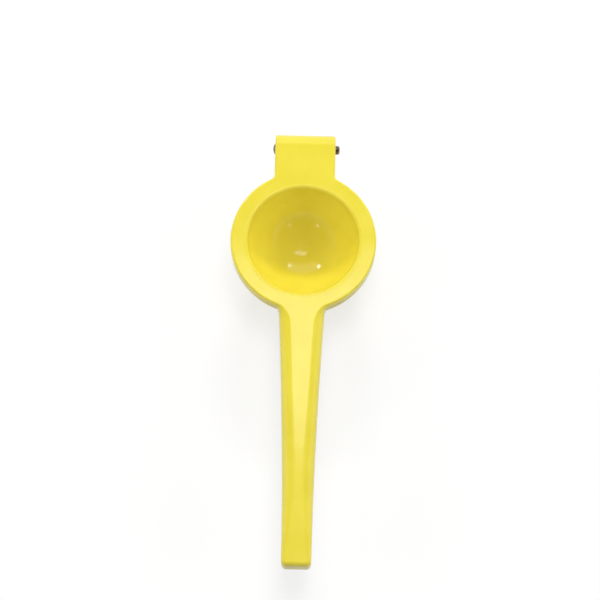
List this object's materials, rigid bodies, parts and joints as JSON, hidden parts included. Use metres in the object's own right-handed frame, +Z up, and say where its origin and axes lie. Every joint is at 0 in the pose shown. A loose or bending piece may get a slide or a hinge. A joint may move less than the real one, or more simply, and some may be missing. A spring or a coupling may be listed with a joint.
{
  "type": "hinged lemon squeezer",
  "caption": "Hand squeezer for citrus halves: a round press cup on one lever closes into a pierced strainer bowl on the other, joined by a rivet hinge.",
  "frame": {"origin": "centre of the round foot under the strainer bowl", "axes": "+X to the right across the hinge, +Y from the bowl towards the hinge, -Y along the handles, +Z up out of the bowl; shown closed"},
  "size_m": [0.072, 0.2218, 0.0377],
  "materials": {
    "yellow_enamel": "glossy yellow enamel on cast aluminium",
    "rivet_steel": "plain steel, lightly polished"
  },
  "bodies": {
    "lower": {"lower_arm": "yellow_enamel"},
    "upper": {"upper_arm": "yellow_enamel", "hinge_pin": "rivet_steel"}
  },
  "joints": [
    {"name": "squeezer_hinge", "type": "hinge", "parent": "lower", "child": "upper", "pos_m": [0, 0.0502, 0.0307], "axis": [-1, 0, 0], "range_deg": [0, 145]}
  ]
}
